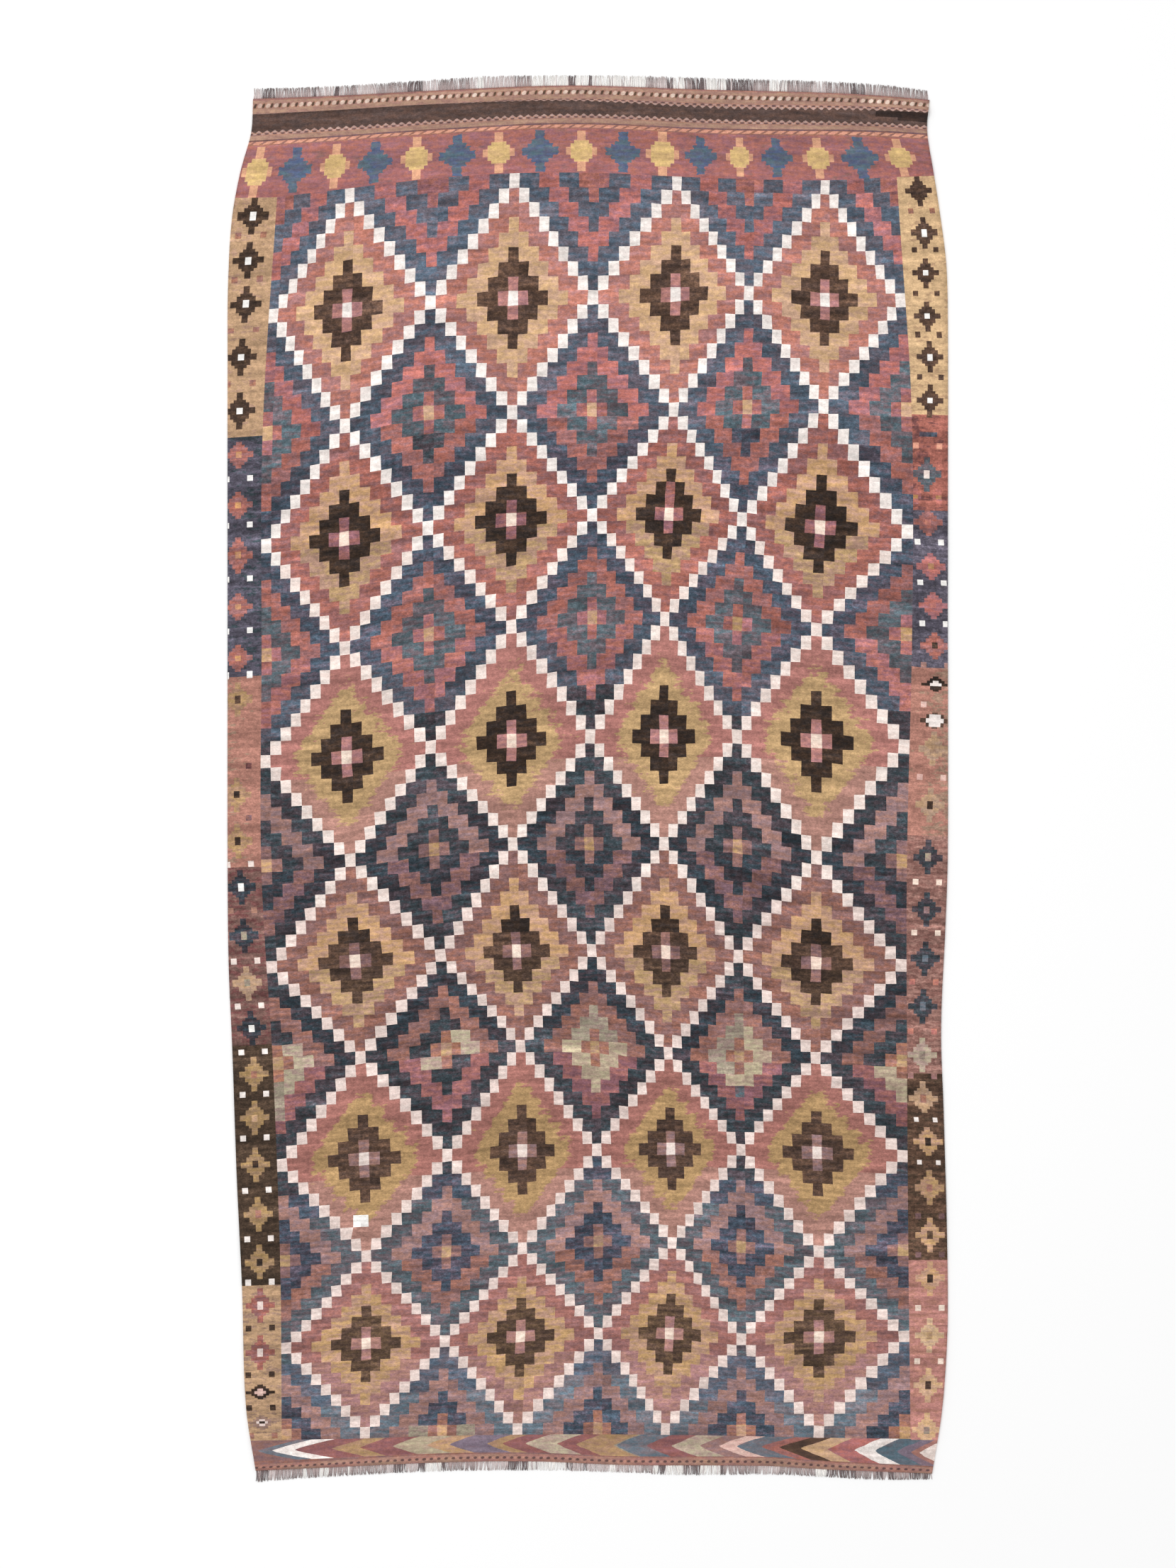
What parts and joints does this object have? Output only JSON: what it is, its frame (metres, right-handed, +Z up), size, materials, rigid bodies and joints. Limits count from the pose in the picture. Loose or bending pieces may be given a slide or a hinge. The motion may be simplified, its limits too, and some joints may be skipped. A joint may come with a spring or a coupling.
{
  "type": "kilim rug",
  "caption": "Long flat-woven wool rug with stepped-diamond field, panelled side borders, banded ends and short warp fringes, lying flat.",
  "frame": {"origin": "on the floor under the middle of the rug's bounding box, fringes included", "axes": "+Z up out of the rug's face, +Y along the warps towards the end with the dark band, +X across the warps to the right"},
  "size_m": [1.5005, 2.9279, 0.003],
  "materials": {
    "woven_wool": "matt slit-woven wool in rose, navy, camel, dark brown and cream",
    "warp_ends": "matt undyed wool warps, grey-brown and ivory"
  },
  "bodies": {
    "root": {"woven_cloth": "woven_wool", "fringe_dark_band_end": "warp_ends", "fringe_chevron_end": "warp_ends"}
  },
  "joints": []
}
